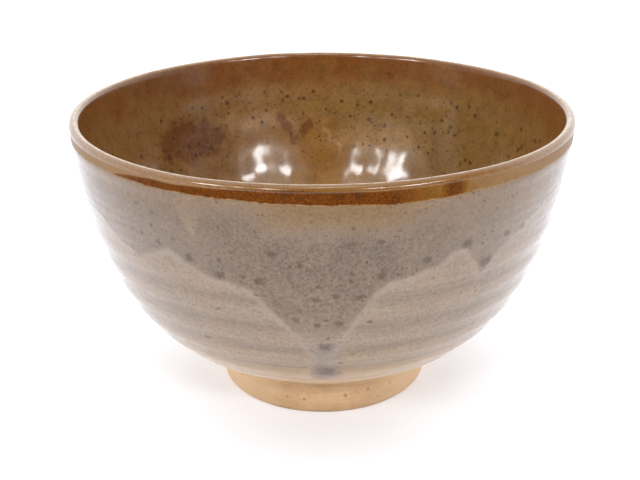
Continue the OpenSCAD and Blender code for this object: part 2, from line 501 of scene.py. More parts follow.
class Nodes:
    """Adds nodes to a node tree, one at a time."""

    def __init__(self, owner):
        owner.use_nodes = True
        self.tree = owner.node_tree
        self.tree.nodes.clear()

    def feed(self, socket, value):
        if isinstance(value, bpy.types.NodeSocket):
            self.tree.links.new(value, socket)
        elif isinstance(value, tuple) and len(value) == 3 and socket.type == "RGBA":
            socket.default_value = (*value, 1.0)
        else:
            socket.default_value = value

    def fill(self, made, **inputs):
        """Feeds a node's inputs by name, with underscores for the spaces in a name."""
        for key, value in inputs.items():
            self.feed(made.inputs[key.replace("_", " ")], value)

    def node(self, kind, *values, operation=None, **inputs):
        """A new node, whose first inputs take the values in turn and others are fed by name."""
        made = self.tree.nodes.new("ShaderNode" + kind)
        if operation:
            made.operation = operation
        for index, value in enumerate(values):
            self.feed(made.inputs[index], value)
        self.fill(made, **inputs)
        return made

    def calc(self, kind, a, b=0.0):
        return self.node("Math", a, b, operation=kind).outputs[0]

    def add(self, a, b):
        return self.calc("ADD", a, b)

    def minus(self, a, b):
        return self.calc("SUBTRACT", a, b)

    def times(self, a, b):
        return self.calc("MULTIPLY", a, b)

    def swing(self, noise, reach):
        """A noise of 0 to 1 turned into half of reach below and above 0."""
        return self.times(self.minus(noise, 0.5), reach)

    def ramp(self, value, low, high, to_low=0.0, to_high=1.0):
        """A smooth step from to_low, at low, to to_high, at high."""
        made = self.node("MapRange", value, low, high, to_low, to_high)
        made.interpolation_type = "SMOOTHSTEP"
        return made.outputs["Result"]


class Shade(Nodes):
    """Builds one procedural material."""

    def __init__(self, name):
        self.material = bpy.data.materials.new(name)
        super().__init__(self.material)
        self.surface = self.node("BsdfPrincipled")
        self.node("OutputMaterial", self.surface.outputs[0])
        self.place = self.node("TexCoord").outputs["Object"]

    def mark(self, name):
        made = self.node("Attribute")
        made.attribute_name = name
        return made.outputs["Fac"]

    def blend(self, share, a, b):
        made = self.node("Mix")
        made.data_type = "RGBA"
        for index, value in ((0, share), (6, a), (7, b)):
            self.feed(made.inputs[index], value)
        return made.outputs[2]

    def lighten(self, colour, amount):
        """A colour made lighter or darker by a share of itself."""
        return self.node("VectorMath", colour, operation="SCALE", Scale=self.add(amount, 1.0)).outputs[0]

    def scaled(self, x, y, z):
        return self.node("Mapping", self.place, Scale=(x, y, z)).outputs[0]

    def noise(self, size, detail=2.0, rough=0.5, shift=0.0, place=None):
        """Noise whose features are about size mm across."""
        made = self.node("TexNoise", place or self.place)
        made.noise_dimensions = "4D"
        self.fill(made, W=shift, Scale=1 / (size * MM), Detail=detail, Roughness=rough)
        return made.outputs["Fac"]

    def specks(self, cell, radius, share, shift=0.0):
        """Ragged specks up to radius mm, one in a share of cells about cell mm across."""
        rough = self.node("TexNoise", self.place, Scale=1.3 / (radius * MM)).outputs["Color"]
        reach = (1.1 * radius * MM,) * 3
        moved = self.node("VectorMath", rough, reach, self.place, operation="MULTIPLY_ADD")
        shifted = self.node("VectorMath", moved.outputs[0], (0.37 * shift, 0.19 * shift, 0.71 * shift))
        made = self.node("TexVoronoi", shifted.outputs[0], Scale=1 / (cell * MM), Randomness=1.0)
        split = self.node("SeparateColor", made.outputs["Color"])
        chosen = self.ramp(split.outputs[0], 1 - share, 1 - share + 0.02)
        size = self.ramp(split.outputs[1], 0, 1, 0.45 * radius / cell, radius / cell)
        edge = self.calc("DIVIDE", made.outputs["Distance"], size)
        return self.times(chosen, self.ramp(edge, 1.1, 0.5))

    def relief(self, height, strength, distance):
        """Bump from a height of 0 to 1 that stands for distance mm."""
        made = self.node("Bump", Strength=strength, Distance=distance * MM, Height=height)
        self.fill(self.surface, Normal=made.outputs[0])

    def glossy(self, roughness, coat, coat_roughness, shine=0.2, bend=GLASS_IOR):
        self.fill(self.surface, Roughness=roughness, Coat_Weight=coat, Coat_IOR=bend,
                  Coat_Roughness=coat_roughness, Specular_IOR_Level=shine)

    def colour(self, value):
        self.fill(self.surface, Base_Color=value)


# ---- glaze and clay colours

PINK_BEIGE = (0.243, 0.174, 0.125)
GREY_BEIGE = (0.230, 0.174, 0.127)
WARM_BEIGE = (0.282, 0.190, 0.112)
TOP_BEIGE = (0.163, 0.094, 0.037)
TOP_PINK = (0.180, 0.117, 0.072)
# Cream for the lowest part of the wall: partly the glaze thinning towards the foot, partly painted light and
# reflection from the pale floor.
CREAM_AND_FLOOR_LIGHT = (0.375, 0.225, 0.088)
WIPED_CLAY = (0.430, 0.262, 0.112)
PALE_HALO = (0.278, 0.219, 0.170)
MAUVE_GREY = (0.120, 0.083, 0.058)
MAUVE_LIGHT = (0.184, 0.133, 0.095)
DARK_SPECK = (0.062, 0.039, 0.022)
SLATE = (0.112, 0.086, 0.067)
DROP_GREY = (0.236, 0.180, 0.139)
PALE_RUN = (0.228, 0.179, 0.148)


# Depth from which a ring of the glaze was wiped thin before firing, so that the clay shows through.
WIPE_DEPTH = 54.8


def outer_colour(m):
    """Colour of the milky glaze, with what the poured coat leaves round its edge."""
    depth = m.mark("depth")
    pour = m.mark("pour")
    cloud = m.noise(9, 3, 0.55, 1.0)
    base = m.blend(m.ramp(cloud, 0.35, 0.65), PINK_BEIGE, GREY_BEIGE)
    # Lighter and warmer down the lower wall: partly the glaze's warmer tone there, partly painted light for
    # the floor's bounce on the lower wall.
    warm_glaze_and_bounce = m.ramp(m.add(depth, m.times(cloud, 6.0)), 38, 51)
    base = m.blend(m.times(warm_glaze_and_bounce, 0.65), base, WARM_BEIGE)
    warm_top = m.ramp(m.add(depth, m.times(cloud, 4.0)), 16.0, 6.0)
    top = m.blend(m.mark("warm"), TOP_PINK, TOP_BEIGE)
    base = m.blend(m.times(warm_top, 0.95), base, top)
    # Lighter on the throwing rings' ridges and darker in their grooves: partly the glaze's own thickness over
    # them, partly painted shade in the grooves.
    ring = m.mark("ring")
    ring_glaze_and_shade = m.add(m.ramp(ring, -1, 1, -0.06, 0.08), m.ramp(ring, -1, -0.6, -0.06, 0.0))
    base = m.lighten(base, ring_glaze_and_shade)
    streak = m.noise(0.9, 3, 0.6, 25.0, m.scaled(0.08, 0.08, 1.0))
    base = m.lighten(base, m.times(m.ramp(streak, 0.25, 0.75, -0.09, 0.09), m.ramp(depth, 12, 26)))
    grain = m.noise(0.6, 3, 0.7, 2.0)
    base = m.lighten(base, m.ramp(grain, 0.25, 0.75, -0.20, 0.20))
    # The lowest part of the wall turns cream: partly the glaze thinning over the clay, partly painted light
    # and reflection of the pale floor on the wall's underside.
    low = m.ramp(m.add(depth, m.times(cloud, 3.0)), 47, 56)
    base = m.blend(m.times(low, 0.85), base, CREAM_AND_FLOOR_LIGHT)
    past = m.minus(depth, m.add(m.ramp(cloud, 0.3, 0.7, -0.5, 0.5), WIPE_DEPTH))
    base = m.blend(m.ramp(past, -0.3, 1.2, 0.0, 0.8), base, WIPED_CLAY)
    base = m.lighten(base, m.ramp(m.calc("ABSOLUTE", past), 0.0, 0.6, -0.22, 0.0))
    base = m.blend(m.ramp(past, 4.0, 9.0, 0.0, 0.8), base, WARM_BEIGE)
    wander = m.swing(m.noise(2.2, 3, 0.6, 3.0), 1.6)
    gap = m.add(pour, wander)
    halo = m.times(m.ramp(gap, -1.8, -0.7), m.ramp(gap, 0.35, -0.45))
    halo = m.times(halo, m.ramp(m.noise(6, 2, 0.5, 4.0), 0.3, 0.7, 0.25, 0.80))
    halo = m.times(halo, m.ramp(m.mark("dense"), 0.2, 0.9, 0.45, 0.95))
    base = m.blend(halo, base, PALE_HALO)
    run = m.lighten(PALE_RUN, m.ramp(grain, 0.25, 0.75, -0.16, 0.16))
    return m.blend(m.mark("run"), base, run), gap


def poured_colour(m, under, gap):
    """The darker, speckled overlap, faded in over the milky colour."""
    mottle = m.noise(0.7, 4, 0.8, 5.0)
    dark = m.blend(m.ramp(mottle, 0.38, 0.60), MAUVE_GREY, MAUVE_LIGHT)
    clump = m.noise(2.4, 2, 0.6, 26.0)
    dark = m.lighten(dark, m.ramp(clump, 0.3, 0.7, -0.08, 0.07))
    dark = m.lighten(dark, m.ramp(m.mark("depth"), 8, 42, -0.10, 0.16))
    cloud = m.noise(7, 2, 0.5, 6.0)
    dark = m.lighten(dark, m.ramp(cloud, 0.3, 0.7, -0.07, 0.08))
    gap = m.add(gap, m.swing(mottle, 2.0))
    low_edge = m.ramp(gap, -0.6, 1.3)
    top = m.add(m.mark("pour_top"), m.swing(cloud, 3.0))
    top_edge = m.ramp(top, 3.0, -4.4)
    share = m.times(m.times(low_edge, top_edge), m.mark("dense"))
    share = m.times(share, m.ramp(m.mark("notch"), 0, 1, 1.0, 0.20))
    tip = m.add(m.mark("depth"), m.swing(clump, 7.0))
    share = m.times(share, m.ramp(tip, 27.0, 37.0, 1.0, 0.08))
    return m.blend(share, under, dark)


def speckled(m, colour, gap):
    """Dark specks and blotches: many in the poured coat, few below it."""
    inside = m.ramp(gap, -0.5, 0.8)
    fine = m.times(m.specks(1.0, 0.34, 0.50, 1.0), m.ramp(inside, 0, 1, 0.30, 0.60))
    colour = m.blend(fine, colour, DARK_SPECK)
    medium = m.times(m.specks(2.4, 0.62, 0.40, 2.0), m.ramp(inside, 0, 1, 0.30, 0.66))
    colour = m.blend(medium, colour, DARK_SPECK)
    ragged = m.add(m.mark("blotch"), m.swing(m.noise(0.9, 3, 0.7, 7.0), 1.7))
    return m.blend(m.times(m.ramp(ragged, -0.10, 0.65), 0.66), colour, DARK_SPECK)


def glaze_relief(m, size=1.4, distance=0.02):
    """The very slight orange peel of a glassy glaze."""
    soft = m.noise(size * 3, 2, 0.5, 8.0)
    fine = m.noise(size, 2, 0.5, 9.0)
    m.relief(m.add(m.times(soft, 0.7), m.times(fine, 0.3)), 1.0, distance)


def gloss_of_wall(m):
    m.glossy(m.ramp(m.noise(3, 2, 0.5, 10.0), 0.3, 0.7, 0.30, 0.42), GLASS, 0.09)
    glaze_relief(m)


def milky_material():
    m = Shade("milky_glaze")
    colour, gap = outer_colour(m)
    m.colour(speckled(m, colour, gap))
    gloss_of_wall(m)
    return m.material


def poured_material():
    m = Shade("mauve_glaze")
    under, gap = outer_colour(m)
    m.colour(speckled(m, poured_colour(m, under, gap), gap))
    gloss_of_wall(m)
    return m.material


def drop_material():
    m = Shade("drop_glaze")
    mottle = m.noise(1.0, 3, 0.65, 11.0)
    dark = m.add(m.mark("core"), m.swing(mottle, 1.6))
    colour = m.blend(m.ramp(dark, 0.15, 0.95, 0.0, 0.72), DROP_GREY, SLATE)
    under, _ = outer_colour(m)
    edge = m.add(m.mark("rise"), m.swing(mottle, 1.1))
    m.colour(m.blend(m.ramp(edge, 0.0, 0.75), under, colour))
    m.glossy(0.45, 0.6, 0.14, 0.1)
    glaze_relief(m)
    return m.material


IRON_BROWN = (0.055, 0.013, 0.001)
IRON_AMBER = (0.160, 0.045, 0.003)
IRON_DARK = (0.040, 0.014, 0.003)
LIP_TAN = (0.158, 0.066, 0.009)
LIP_GREY = (0.198, 0.102, 0.040)
LIP_CREAM = (0.400, 0.270, 0.140)
PALE_LINE = (0.340, 0.225, 0.110)
BAND_TAN = (0.232, 0.142, 0.070)


def lip_colour(m):
    """The lip and the band under it: thin tan glaze, over which the iron runs as amber and brown."""
    grain = m.noise(0.38, 3, 0.7, 12.0)
    streak = m.noise(2.5, 2, 0.5, 13.0)
    side = m.mark("turn")
    grey = m.add(m.ramp(side, -0.1, -0.7), m.ramp(side, 0.35, 0.95))
    grey = m.add(grey, m.swing(streak, 1.2))
    thin = m.blend(m.ramp(grey, 0.05, 0.75), LIP_TAN, LIP_GREY)
    thin = m.lighten(thin, m.ramp(grain, 0.3, 0.7, -0.32, 0.28))
    iron = m.blend(m.ramp(grain, 0.34, 0.68), IRON_BROWN, IRON_AMBER)
    iron = m.blend(m.ramp(streak, 0.50, 0.68, 0.0, 0.6), iron, IRON_DARK)
    amount = m.add(m.mark("iron"), m.swing(grain, 0.5))
    return m.blend(m.ramp(amount, 0.35, 0.90), thin, iron), streak


def band_material():
    """Iron-brown band: granular amber and brown, fading to tan on the sides."""
    m = Shade("iron_glaze")
    colour, streak = lip_colour(m)
    bare = m.ramp(m.add(m.mark("iron"), m.swing(streak, 0.5)), 0.50, 0.20)
    colour = m.blend(m.times(bare, 0.75), colour, BAND_TAN)
    ragged = m.noise(0.9, 3, 0.7, 29.0)
    low = m.ramp(m.add(m.mark("edge"), m.times(ragged, 0.9)), 0.80, 0.42)
    colour = m.blend(m.times(low, 0.75), colour, PALE_LINE)
    m.colour(colour)
    m.glossy(0.5, 0.35, 0.08, 0.0)
    glaze_relief(m, 0.8, 0.02)
    return m.material


LINING_RED = (0.164, 0.052, 0.007)
LINING_BROWN = (0.196, 0.090, 0.024)
LINING_OLIVE = (0.181, 0.092, 0.021)
LINING_OCHRE = (0.196, 0.083, 0.013)
LINING_DARK = (0.108, 0.030, 0.005)
LINING_PALE = (0.340, 0.200, 0.090)
IRON_SPECK = (0.046, 0.013, 0.001)
# Run at the top of the lip, where the glaze has drawn thin and shows cream.
LIP_CREST = 2.2


def lining_material():
    """Brown lining: reddish at the top, olive and ochre lower down, with a belt of iron specks."""
    m = Shade("lining_glaze")
    run = m.mark("run_in")
    cloud = m.noise(11, 3, 0.55, 14.0)
    mid = m.noise(3.2, 3, 0.6, 15.0)
    colour = m.blend(m.ramp(m.add(run, m.times(cloud, 8.0)), 12, 18), LINING_RED, LINING_BROWN)
    colour = m.blend(m.mark("olive"), colour, LINING_OLIVE)
    colour = m.blend(m.times(m.ramp(cloud, 0.42, 0.62), 0.35), colour, LINING_OLIVE)
    colour = m.blend(m.mark("ochre"), colour, LINING_OCHRE)
    # The pale mark holds pale streaks in the glaze and, lower down, a painted sheen for the glow round the
    # highlights.
    colour = m.blend(m.mark("pale"), colour, LINING_PALE)
    shred = m.noise(1.7, 3, 0.65, 24.0)
    ragged = m.add(m.mark("dark"), m.swing(shred, 1.6))
    colour = m.blend(m.ramp(ragged, 0.18, 0.80, 0.0, 0.82), colour, LINING_DARK)
    colour = m.lighten(colour, m.ramp(mid, 0.25, 0.75, -0.16, 0.14))
    grain = m.noise(0.8, 3, 0.7, 16.0)
    colour = m.lighten(colour, m.ramp(grain, 0.2, 0.8, -0.24, 0.24))
    colour = m.lighten(colour, m.ramp(m.mark("turn"), -0.85, -0.1, -0.16, 0.0))
    belt = m.mark("belt")
    fine = m.times(m.specks(1.3, 0.38, 0.60, 3.0), m.ramp(belt, 0, 1, 0.20, 0.72))
    colour = m.blend(fine, colour, IRON_SPECK)
    medium = m.times(m.specks(2.2, 0.80, 0.68, 4.0), m.ramp(belt, 0, 1, 0.03, 0.82))
    colour = m.blend(medium, colour, IRON_SPECK)
    spot = m.add(m.mark("spot"), m.swing(m.noise(0.7, 2, 0.6, 17.0), 0.9))
    colour = m.blend(m.times(m.ramp(spot, -0.15, 0.55), 0.86), colour, IRON_SPECK)
    lip, streak = lip_colour(m)
    wander = m.swing(streak, 0.9)
    on_lip = m.ramp(m.add(run, wander), LIP_RUN - 0.1, LIP_RUN - 1.2)
    colour = m.blend(on_lip, colour, lip)
    gap = m.calc("ABSOLUTE", m.minus(run, LIP_CREST))
    crest = m.ramp(m.add(gap, wander), 0.55, 0.10)
    crest = m.times(crest, m.ramp(m.noise(1.6, 2, 0.5, 18.0), 0.25, 0.6, 0.25, 0.95))
    colour = m.blend(crest, colour, LIP_CREAM)
    m.colour(colour)
    m.glossy(m.ramp(mid, 0.3, 0.7, 0.26, 0.36), GLASS, 0.11, 0.24, LINING_IOR)
    soft = m.noise(5.5, 1, 0.4, 19.0)
    fine_peel = m.noise(1.6, 2, 0.5, 20.0)
    height = m.add(m.times(soft, 0.85), m.times(fine_peel, 0.15))
    m.relief(height, 1.0, 0.055)
    return m.material


CLAY_TAN = (0.495, 0.310, 0.166)
CLAY_LIGHT = (0.550, 0.360, 0.202)
# Painted light: paler clay laid on the foot's left and right sides, where the side light falls.
CLAY_PAINTED_SIDE_LIGHT = (0.630, 0.440, 0.275)
CLAY_DARK = (0.250, 0.130, 0.060)


def clay_material(name):
    """Bare fired stoneware: warm tan, cloudy, with small pits and a few darker grains."""
    m = Shade(name)
    cloud = m.noise(6, 3, 0.6, 21.0)
    colour = m.blend(m.ramp(cloud, 0.35, 0.65), CLAY_TAN, CLAY_LIGHT)
    lines = m.noise(1.0, 2, 0.6, 22.0, m.scaled(0.12, 0.12, 2.0))
    colour = m.lighten(colour, m.ramp(lines, 0.3, 0.7, -0.06, 0.05))
    grain = m.noise(0.5, 3, 0.7, 23.0)
    colour = m.lighten(colour, m.ramp(grain, 0.25, 0.75, -0.08, 0.08))
    split = m.node("SeparateXYZ", m.place)
    # Painted shade: the clay darkens over its lowest 5 mm, towards the floor, for the contact shadow where
    # the foot stands.
    colour = m.lighten(colour, m.ramp(split.outputs[2], 0.0, 5 * MM, -0.20, 0.0))
    # Painted light: the top 3 mm of the foot is lightened to offset the shade under the glaze's rolled edge
    # above it.
    colour = m.lighten(colour, m.ramp(split.outputs[2], (FOOT_H - 3.0) * MM, FOOT_H * MM, 0.0, 0.28))
    # Painted light: the clay turns paler towards its left and right sides, by its x, for the light falling
    # from the sides.
    sideways = m.calc("ABSOLUTE", split.outputs[0])
    side = m.ramp(sideways, 0.35 * FOOT_R * MM, 0.9 * FOOT_R * MM, 0.0, 0.85)
    colour = m.blend(side, colour, CLAY_PAINTED_SIDE_LIGHT)
    pits = m.specks(2.2, 0.45, 0.12, 5.0)
    colour = m.blend(m.times(pits, 0.55), colour, CLAY_DARK)
    large = m.add(m.mark("pit"), m.swing(grain, 0.9))
    colour = m.blend(m.ramp(large, 0.30, 0.75, 0.0, 0.75), colour, CLAY_DARK)
    m.colour(colour)
    m.glossy(0.85, 0.0, 0.3)
    height = m.minus(m.times(grain, 0.5), pits)
    m.relief(height, 0.6, 0.06)
    return m.material


# ---- pieces

# Vertices round the glazes, the foot and the hidden clay, and rows down the outer glaze and lining.
WALL_TURNS = 640
FOOT_TURNS = 560
CLAY_TURNS = 160
OUTER_ROWS = 134
LINING_ROWS = 118
# How far the glazes' hidden sides and the clay's surface lie from the finished surface.
BACK_LIFT = -GLAZE_T
CLAY_LIFT = BACK_LIFT - 0.02
# Depth where the outer glaze ends, and how far its lower edge tucks in.
GLAZE_END = WALL.length - 0.3
EDGE_TUCK = 0.30
# Heights of the thicker lines along the outer glaze's edges, and where the lower one is.
BEAD_HEIGHT = 0.16
ROLL_HEIGHT = 0.25
FOOT_ROLL_DEPTH = WALL.length - 1.6


def flat_ring(angles, r, z):
    """A ring of points all at one radius and height."""
    return to_space(angles, np.full(len(angles), r), np.full(len(angles), z))


def top_bead(depth):
    """The outer glaze is a little thicker along its top edge, under the band."""
    below = depth - BAND_LOW
    return BEAD_HEIGHT * smooth(below, -0.3, 0.45) * (1 - smooth(below, 0.7, 3.0))


def foot_roll(depth):
    """The outer glaze rolls up thicker where it ends above the foot."""
    return ROLL_HEIGHT * np.exp(-((depth - FOOT_ROLL_DEPTH) / 0.9) ** 2)


# Depth where the iron band ends, and where it begins (below 0 it begins on the lip), round the bowl.
BAND_END = (
    (-180, 2.5), (-140, 3.0), (-100, 2.3), (-62, 2.0), (-34, 2.05), (-16, 2.25), (-3, 2.6), (14, 3.1),
    (26, 2.9), (50, 2.6), (90, 2.9), (135, 2.3),
)
BAND_START = (
    (-180, -0.6), (-150, -0.2), (-118, -0.3), (-104, 2.2), (-90, 3.2), (-60, 3.0), (-47, 1.9), (-45, 1.5),
    (-40, 0.6), (-34, 0.2), (-26, 0.0), (-15, -0.2), (-3, -0.6), (14, -0.1), (25, -0.4), (48, -0.4),
    (70, -1.2), (100, -0.2), (125, 1.4), (140, 1.6), (160, 0.0),
)
# How strongly the iron colours the band, round the bowl.
BAND_IRON = (
    (-180, 0.9), (-150, 1.0), (-118, 0.9), (-104, 0.6), (-90, 0.36), (-60, 0.34), (-47, 0.64), (-40, 0.82),
    (-20, 0.95), (0, 1.0), (12, 0.95), (17, 0.60), (22, 0.42), (24, 0.85), (26, 0.85), (28, 0.34), (48, 0.24),
    (66, 0.17), (84, 0.30), (100, 0.8), (125, 0.9), (140, 0.7), (160, 0.8),
)


def band_edge(angle):
    """Depth where the iron band ends and the outer glaze begins."""
    return round_lookup(angle, BAND_END) + waves(angle, ((13, 0.06, 200), (31, 0.05, 70), (67, 0.03, 10)))


def side_mark(angle):
    """0 in front, 1 on the right and -1 on the left."""
    return np.sin(np.radians(angle))


def iron_mark(angle, depth):
    """Strength of the iron at a place on the lip (depth below 0) or the band."""
    start = round_lookup(angle, BAND_START) + waves(angle, ((11, 0.12, 20), (37, 0.08, 110)))
    return round_lookup(angle, BAND_IRON) * smooth(depth, start - 0.35, start + 0.45)


def band_marks(angle, depth):
    """What the band's material needs to know at each vertex."""
    return {
        "edge": band_edge(angle) - depth,
        "iron": iron_mark(angle, depth),
        "turn": side_mark(angle),
    }


def wall_piece(name, node, material, start, end, counts, lift, back_lift, marks):
    """A coat on the outer wall, from its start to its end depth: first its face, then its hidden side."""
    front, hidden = counts
    shares = np.append(np.linspace(0, 1, front), np.linspace(1, 0, hidden))
    a, share = np.meshgrid(angles_for(WALL_TURNS), shares)
    depth = start(a) + (end(a) - start(a)) * share
    up = lift(a, depth)
    up[front:] = back_lift
    make_piece(name, node, material, wall_point(a, depth, up), marks(a, depth))


def outer_lift(angle, depth):
    """The milky glaze rolls up and turns in at its lower edge, just above the foot."""
    top = band_edge(angle)
    lift = top_bead(depth - top + BAND_LOW) + foot_roll(depth)
    close = np.minimum(depth - top, GLAZE_END - depth)
    return lift - EDGE_TUCK * (1 - smooth(close, -0.01, EDGE_TUCK)) * smooth(depth, 20, 30)


def make_outer_glaze():
    wall_piece("outer_glaze_coat", "outer_glaze", milky_material(), band_edge,
               lambda angle: GLAZE_END, (OUTER_ROWS, 14), outer_lift, BACK_LIFT, wall_marks)


def make_rim_band():
    """The iron band under the lip."""
    wall_piece("rim_band", "rim_glaze", band_material(), lambda angle: 0.0, band_edge,
               (9, 3), lambda angle, depth: np.zeros_like(depth), BACK_LIFT, band_marks)


POUR_ROWS = 90
POUR_THICK = 0.08
POUR_SINK = 0.05
POUR_BACK = -0.25


def coat_top(angle):
    """Depth where the second coat begins, never as high as the band."""
    return np.maximum(ring_lookup(angle, TOP_DEPTHS) - 3.5, band_edge(angle) + 0.6)


def coat_end(angle):
    return ring_lookup(angle, EDGE_DEPTHS)


def coat_lift(angle, depth):
    """The second coat thickens towards its lower edge, and dips under the milky glaze all round."""
    gap = np.clip(distance_to(angle, depth, EDGE_DEPTHS), 0, None)
    from_top = depth - coat_top(angle)
    thick = POUR_THICK * smooth(gap, 0, 1.1) * smooth(from_top, 0.2, 5.0)
    sink = POUR_SINK * (1 - smooth(np.minimum(gap, from_top), 0.0, 0.5))
    return thick - sink + top_bead(depth - band_edge(angle) + BAND_LOW)


def make_poured_coat():
    wall_piece("poured_coat", "poured_glaze", poured_material(), coat_top,
               coat_end, (POUR_ROWS, 8), coat_lift, POUR_BACK, wall_marks)


DROP_ANGLE = 0.5
DROP_HALF_W = 3.9
DROP_THICK = 0.34
DROP_TAPER = 0.26
DROP_TURNS = 72
DROP_RINGS = 22


def drop_reach(turn):
    """Outline of the drop: squarish, wider at its foot, with a ragged upper edge."""
    t = np.radians(turn)
    square = 1 / (np.abs(np.cos(t)) ** 3 + np.abs(np.sin(t)) ** 3) ** (1 / 3)
    ragged = waves(turn, ((3, 0.09, 30), (5, 0.07, 200), (8, 0.05, 90), (13, 0.03, 10)))
    return square * (1 + ragged)


def make_drop():
    """The thick drop of glaze at the end of the longest tongue, with its face first."""
    middle = (depth_at(DROP_TOP_Z) + depth_at(DROP_LOW_Z)) / 2
    half_h = (depth_at(DROP_LOW_Z) - depth_at(DROP_TOP_Z)) / 2 + 0.4
    turns = np.arange(DROP_TURNS) * 360.0 / DROP_TURNS
    t, rho = np.meshgrid(turns, np.linspace(0, 1, DROP_RINGS))
    reach = rho * drop_reach(t)
    across = np.cos(np.radians(t))
    upward = np.sin(np.radians(t))
    depth = middle - half_h * reach * upward
    half_w = DROP_HALF_W * (1 - DROP_TAPER * reach * upward)
    angle = DROP_ANGLE + np.degrees(half_w * reach * across / WALL.at(depth)[0][0])
    rise = np.clip(1 - rho ** 2.4, 0, 1) ** 1.2
    core = np.clip(1 - np.hypot(rho * across / 0.95, (rho * upward - 0.30) / 0.80), 0, 1)
    angle, depth = [np.vstack([v, v[::-1][:-1:4], v[:1]]) for v in (angle, depth)]
    hidden = np.zeros((len(depth) - DROP_RINGS, DROP_TURNS))
    points = wall_point(angle, depth, np.vstack([DROP_THICK * rise - 0.05, hidden - 0.3]))
    marks = wall_marks(angle, depth)
    marks["rise"] = np.vstack([rise, hidden])
    marks["core"] = np.vstack([core, hidden])
    make_piece("glaze_drop_bead", "glaze_drop", drop_material(), points, marks, poles=True)


# Features of the lining, as (angle from the back towards +X, run below the lip inside, size).
DARK_V = (((-13.0, 16.0), (-9.0, 24.5)), ((-9.0, 24.5), (-3.0, 19.0)))
BIG_SPOTS = (
    (15.2, 18, 0.85), (20.5, 19.4, 0.8), (36.5, 18.4, 0.6), (44.7, 19, 0.65), (60.5, 15.3, 0.85),
    (72, 16.7, 0.8), (28.6, 16.2, 0.55), (-5.5, 16.6, 0.55), (47.3, 12.4, 0.5), (40.8, 14, 0.5),
    (-45, 21.5, 0.8), (-41.5, 24.3, 0.8), (-50, 18, 0.7), (-34, 18.5, 0.7), (68.5, 14, 0.5), (57, 14.5, 0.5),
    (2, 12, 0.4), (11.8, 16.5, 0.4), (-75, 14.5, 0.6), (-57, 18, 0.5), (-68.5, 14.8, 0.5),
    (96, 17, 0.7), (112, 14, 0.8), (128, 19, 0.6), (143, 15, 0.8), (160, 18, 0.7), (178, 14, 0.6),
    (-95, 16, 0.8), (-111, 19, 0.6), (-127, 15, 0.7), (-140, 18, 0.8), (-158, 13, 0.6),
)


# Oval patches of colour: (strength, angle, run, half width, half height, softness of the edge).
OLIVE_PATCHES = (
    (1.0, 42, 20, 34, 12, 0.5), (0.6, 12, 14, 20, 5, 0.5), (0.7, -150, 24, 40, 14, 0.5),
    (0.5, 130, 44, 60, 12, 0.6),
)
OCHRE_PATCHES = ((1.0, 0, 29, 9, 10, 0.3), (0.8, 150, 34, 20, 14, 0.5), (0.6, -100, 40, 26, 14, 0.5))
DARK_PATCHES = ((0.75, -44, 20, 13, 6.5, 0.45), (0.4, 165, 20, 16, 6, 0.5))
PALE_PATCHES = ((0.35, 18, 23.5, 15, 3.0, 0.5), (0.25, -24, 17.5, 12, 2.5, 0.6))


def patches(angle, run, places):
    """The sum of oval patches of the lining, each falling to 0 over its soft edge."""
    total = np.zeros(np.shape(angle))
    for strength, middle, low, half, tall, soft in places:
        gap = np.hypot(wrapped(angle - middle) / half, (run - low) / tall)
        total = total + strength * (1 - smooth(gap, 1 - soft, 1 + soft))
    return total


# The lining's radius where its short strokes of colour are.
STROKE_R = 51


def segment_gap(angle, run, ends):
    """Distance in mm from places on the lining to a short straight stroke."""
    x = np.radians(wrapped(angle)) * STROKE_R
    (a0, s0), (a1, s1) = ends
    p0 = np.array([math.radians(a0) * STROKE_R, s0])
    p1 = np.array([math.radians(a1) * STROKE_R, s1])
    way = p1 - p0
    t = np.clip(((x - p0[0]) * way[0] + (run - p0[1]) * way[1]) / (way @ way), 0, 1)
    return np.hypot(x - p0[0] - t * way[0], run - p0[1] - t * way[1])


def lining_marks(angle, run):
    """What the lining's material needs to know at each vertex."""
    back = wrapped(180 - angle)
    inside = run - LIP_RUN
    spots = spot_mark(back, inside, LINING.at(run)[0][0], BIG_SPOTS)
    bend_a = np.sin(inside / 1.9 + waves(angle, ((31, 2.0, 40),)))
    bend_a = bend_a + np.sin(inside / 0.83 + waves(angle, ((53, 2.5, 10),)))
    bend_s = np.sin(np.radians(37 * angle) + inside / 2.7) + np.sin(np.radians(83 * angle) - inside / 1.3)
    back = back + 0.55 * bend_a
    inside = inside + 0.45 * bend_s
    olive = patches(back, inside, OLIVE_PATCHES)
    ochre = patches(back, inside, OCHRE_PATCHES) + 0.3 * smooth(inside, 52, 66)
    dark = patches(back, inside, DARK_PATCHES)
    for ends in DARK_V:
        dark = np.maximum(dark, 0.8 * (1 - smooth(segment_gap(back, inside, ends), 0.2, 2.2)))
    pale = 0.55 * (1 - smooth(segment_gap(back, inside, ((0.5, 20.5), (6.5, 26.5))), 0.2, 1.2))
    for place in PALE_PATCHES:
        pale = np.maximum(pale, patches(back, inside, (place,)))
    # Painted sheen: the lining turns paler from 30 mm inside downwards, for the glow round the highlights on
    # the lower lining.
    pale = np.maximum(pale, 0.55 * smooth(inside, 30, 46))
    belt = smooth(inside, 6, 12) * (1 - smooth(inside, 24, 36))
    return {
        "run_in": run,
        "iron": iron_mark(angle, -run),
        "turn": side_mark(angle),
        "olive": np.clip(olive, 0, 1),
        "ochre": np.clip(ochre, 0, 1),
        "dark": np.clip(dark, 0, 1),
        "pale": pale,
        "belt": belt,
        "spot": spots,
    }


def lining_runs(lip_rows, inner_rows):
    """The run of each row, over the lip and then down inside to the axis."""
    inner = np.linspace(LIP_RUN, LINING.length, inner_rows)
    return np.append(np.linspace(0, LIP_RUN, lip_rows), inner[1:])


